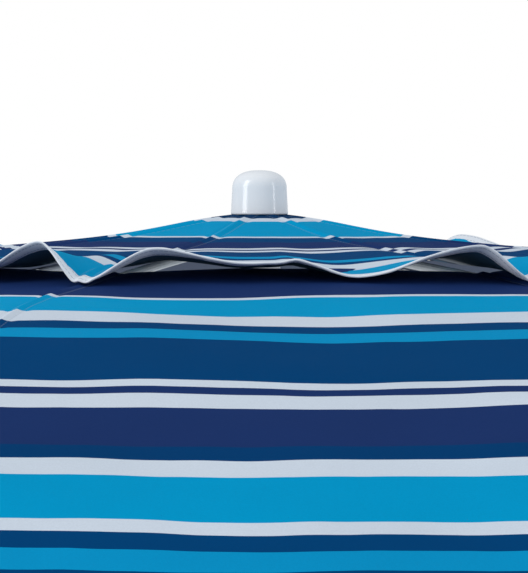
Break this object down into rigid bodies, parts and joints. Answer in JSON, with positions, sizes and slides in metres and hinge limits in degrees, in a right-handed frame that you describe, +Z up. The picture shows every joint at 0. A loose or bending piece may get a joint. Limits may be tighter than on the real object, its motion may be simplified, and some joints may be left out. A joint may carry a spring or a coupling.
{
  "type": "beach umbrella",
  "caption": "Vented beach umbrella with a striped fabric canopy on curved ribs, a sliding runner with stretchers, a tilt joint and a telescoping pole with a pointed foot.",
  "frame": {"origin": "tip of the pointed foot, on the pole axis", "axes": "+Z up along the pole; a canopy gore faces -Y; +X points the way the canopy tilts"},
  "size_m": [1.824, 1.824, 2.2775],
  "materials": {
    "cloth": "woven striped canopy cloth in turquoise, white, indigo and deep teal",
    "gloss_white": "glossy moulded white plastic",
    "white_plastic": "satin moulded white plastic",
    "dark_plastic": "satin moulded dark plastic",
    "white_tube": "white powder-coated tube",
    "steel": "plain steel pins",
    "fibreglass": "smooth white fibreglass rod"
  },
  "bodies": {
    "lower_pole": {"lower_pole": "white_tube", "foot_spike": "dark_plastic", "clamp_collar": "white_plastic"},
    "clamp_knob": {"clamp_knob": "dark_plastic"},
    "mid_pole": {"mid_pole": "white_tube", "slide_bush": "dark_plastic", "tilt_housing": "white_plastic", "tilt_pin": "steel"},
    "tilt_button": {"tilt_button": "dark_plastic"},
    "upper_pole": {"upper_pole": "white_tube", "tilt_tongue": "white_plastic", "crown_hub": "white_plastic", "hub_pins": "steel", "finial": "gloss_white"},
    "runner": {"runner": "white_plastic", "runner_pins": "steel"},
    "runner_catch": {"runner_catch": "steel"},
    "rib_1": {"rib_1": "fibreglass", "rib_fittings_1": "white_plastic", "canopy_1": "cloth", "vent_1": "cloth"},
    "stretcher_1": {"stretcher_1": "fibreglass"},
    "rib_2": {"rib_2": "fibreglass", "rib_fittings_2": "white_plastic", "canopy_2": "cloth", "vent_2": "cloth"},
    "stretcher_2": {"stretcher_2": "fibreglass"},
    "rib_3": {"rib_3": "fibreglass", "rib_fittings_3": "white_plastic", "canopy_3": "cloth", "vent_3": "cloth"},
    "stretcher_3": {"stretcher_3": "fibreglass"},
    "rib_4": {"rib_4": "fibreglass", "rib_fittings_4": "white_plastic", "canopy_4": "cloth", "vent_4": "cloth"},
    "stretcher_4": {"stretcher_4": "fibreglass"},
    "rib_5": {"rib_5": "fibreglass", "rib_fittings_5": "white_plastic", "canopy_5": "cloth", "vent_5": "cloth"},
    "stretcher_5": {"stretcher_5": "fibreglass"},
    "rib_6": {"rib_6": "fibreglass", "rib_fittings_6": "white_plastic", "canopy_6": "cloth", "vent_6": "cloth"},
    "stretcher_6": {"stretcher_6": "fibreglass"},
    "rib_7": {"rib_7": "fibreglass", "rib_fittings_7": "white_plastic", "canopy_7": "cloth", "vent_7": "cloth"},
    "stretcher_7": {"stretcher_7": "fibreglass"},
    "rib_8": {"rib_8": "fibreglass", "rib_fittings_8": "white_plastic", "canopy_8": "cloth", "vent_8": "cloth"},
    "stretcher_8": {"stretcher_8": "fibreglass"}
  },
  "joints": [
    {"name": "knob_turn", "type": "hinge", "parent": "lower_pole", "child": "clamp_knob", "pos_m": [0.03, 0, 0.758], "axis": [1, 0, 0], "continuous": true},
    {"name": "height_slide", "type": "slide", "parent": "lower_pole", "child": "mid_pole", "axis": [0, 0, 1], "range_m": [-0.29, 0]},
    {"name": "tilt_hinge", "type": "hinge", "parent": "mid_pole", "child": "upper_pole", "pos_m": [0, 0, 1.14], "axis": [0, 1, 0], "range_deg": [0, 30]},
    {"name": "tilt_button_slide", "type": "slide", "parent": "mid_pole", "child": "tilt_button", "axis": [-1, 0, 0], "range_m": [0, 0.003], "stiffness_N_per_m": 600},
    {"name": "runner_slide", "type": "slide", "parent": "upper_pole", "child": "runner", "axis": [0, 0, 1], "range_m": [-0.4519, 0], "deforming": ["runner_catch"]},
    {"name": "catch_slide", "type": "slide", "parent": "upper_pole", "child": "runner_catch", "axis": [-1, 0, 0], "range_m": [0, 0.003], "stiffness_N_per_m": 600},
    {"name": "rib_1_hinge", "type": "hinge", "parent": "upper_pole", "child": "rib_1", "pos_m": [0.00651, -0.01571, 2.23], "axis": [0.9239, 0.3827, 0], "range_deg": [0, 70.1], "deforming": ["canopy_1", "vent_1"]},
    {"name": "stretcher_1_hinge", "type": "hinge", "parent": "rib_1", "child": "stretcher_1", "pos_m": [0.1335, -0.32229, 2.19273], "axis": [-0.9239, -0.3827, 0], "range_deg": [0, 115.2]},
    {"name": "rib_2_hinge", "type": "hinge", "parent": "upper_pole", "child": "rib_2", "pos_m": [0.01571, -0.00651, 2.23], "axis": [0.3827, 0.9239, 0], "range_deg": [0, 70.1], "deforming": ["canopy_2", "vent_2"]},
    {"name": "stretcher_2_hinge", "type": "hinge", "parent": "rib_2", "child": "stretcher_2", "pos_m": [0.32229, -0.1335, 2.19273], "axis": [-0.3827, -0.9239, 0], "range_deg": [0, 115.2]},
    {"name": "rib_3_hinge", "type": "hinge", "parent": "upper_pole", "child": "rib_3", "pos_m": [0.01571, 0.00651, 2.23], "axis": [-0.3827, 0.9239, 0], "range_deg": [0, 70.1], "deforming": ["canopy_3", "vent_3"]},
    {"name": "stretcher_3_hinge", "type": "hinge", "parent": "rib_3", "child": "stretcher_3", "pos_m": [0.32229, 0.1335, 2.19273], "axis": [0.3827, -0.9239, 0], "range_deg": [0, 115.2]},
    {"name": "rib_4_hinge", "type": "hinge", "parent": "upper_pole", "child": "rib_4", "pos_m": [0.00651, 0.01571, 2.23], "axis": [-0.9239, 0.3827, 0], "range_deg": [0, 70.1], "deforming": ["canopy_4", "vent_4"]},
    {"name": "stretcher_4_hinge", "type": "hinge", "parent": "rib_4", "child": "stretcher_4", "pos_m": [0.1335, 0.32229, 2.19273], "axis": [0.9239, -0.3827, 0], "range_deg": [0, 115.2]},
    {"name": "rib_5_hinge", "type": "hinge", "parent": "upper_pole", "child": "rib_5", "pos_m": [-0.00651, 0.01571, 2.23], "axis": [-0.9239, -0.3827, 0], "range_deg": [0, 70.1], "deforming": ["canopy_5", "vent_5"]},
    {"name": "stretcher_5_hinge", "type": "hinge", "parent": "rib_5", "child": "stretcher_5", "pos_m": [-0.1335, 0.32229, 2.19273], "axis": [0.9239, 0.3827, 0], "range_deg": [0, 115.2]},
    {"name": "rib_6_hinge", "type": "hinge", "parent": "upper_pole", "child": "rib_6", "pos_m": [-0.01571, 0.00651, 2.23], "axis": [-0.3827, -0.9239, 0], "range_deg": [0, 70.1], "deforming": ["canopy_6", "vent_6"]},
    {"name": "stretcher_6_hinge", "type": "hinge", "parent": "rib_6", "child": "stretcher_6", "pos_m": [-0.32229, 0.1335, 2.19273], "axis": [0.3827, 0.9239, 0], "range_deg": [0, 115.2]},
    {"name": "rib_7_hinge", "type": "hinge", "parent": "upper_pole", "child": "rib_7", "pos_m": [-0.01571, -0.00651, 2.23], "axis": [0.3827, -0.9239, 0], "range_deg": [0, 70.1], "deforming": ["canopy_7", "vent_7"]},
    {"name": "stretcher_7_hinge", "type": "hinge", "parent": "rib_7", "child": "stretcher_7", "pos_m": [-0.32229, -0.1335, 2.19273], "axis": [-0.3827, 0.9239, 0], "range_deg": [0, 115.2]},
    {"name": "rib_8_hinge", "type": "hinge", "parent": "upper_pole", "child": "rib_8", "pos_m": [-0.00651, -0.01571, 2.23], "axis": [0.9239, -0.3827, 0], "range_deg": [0, 70.1], "deforming": ["canopy_8", "vent_8"]},
    {"name": "stretcher_8_hinge", "type": "hinge", "parent": "rib_8", "child": "stretcher_8", "pos_m": [-0.1335, -0.32229, 2.19273], "axis": [-0.9239, 0.3827, 0], "range_deg": [0, 115.2]}
  ],
  "couplings": [
    {"joint": "rib_1_hinge", "follows": "runner_slide", "rad_per_m": -2.7035},
    {"joint": "stretcher_1_hinge", "follows": "runner_slide", "rad_per_m": -4.4457},
    {"joint": "rib_2_hinge", "follows": "runner_slide", "rad_per_m": -2.7035},
    {"joint": "stretcher_2_hinge", "follows": "runner_slide", "rad_per_m": -4.4457},
    {"joint": "rib_3_hinge", "follows": "runner_slide", "rad_per_m": -2.7035},
    {"joint": "stretcher_3_hinge", "follows": "runner_slide", "rad_per_m": -4.4457},
    {"joint": "rib_4_hinge", "follows": "runner_slide", "rad_per_m": -2.7035},
    {"joint": "stretcher_4_hinge", "follows": "runner_slide", "rad_per_m": -4.4457},
    {"joint": "rib_5_hinge", "follows": "runner_slide", "rad_per_m": -2.7035},
    {"joint": "stretcher_5_hinge", "follows": "runner_slide", "rad_per_m": -4.4457},
    {"joint": "rib_6_hinge", "follows": "runner_slide", "rad_per_m": -2.7035},
    {"joint": "stretcher_6_hinge", "follows": "runner_slide", "rad_per_m": -4.4457},
    {"joint": "rib_7_hinge", "follows": "runner_slide", "rad_per_m": -2.7035},
    {"joint": "stretcher_7_hinge", "follows": "runner_slide", "rad_per_m": -4.4457},
    {"joint": "rib_8_hinge", "follows": "runner_slide", "rad_per_m": -2.7035},
    {"joint": "stretcher_8_hinge", "follows": "runner_slide", "rad_per_m": -4.4457}
  ]
}
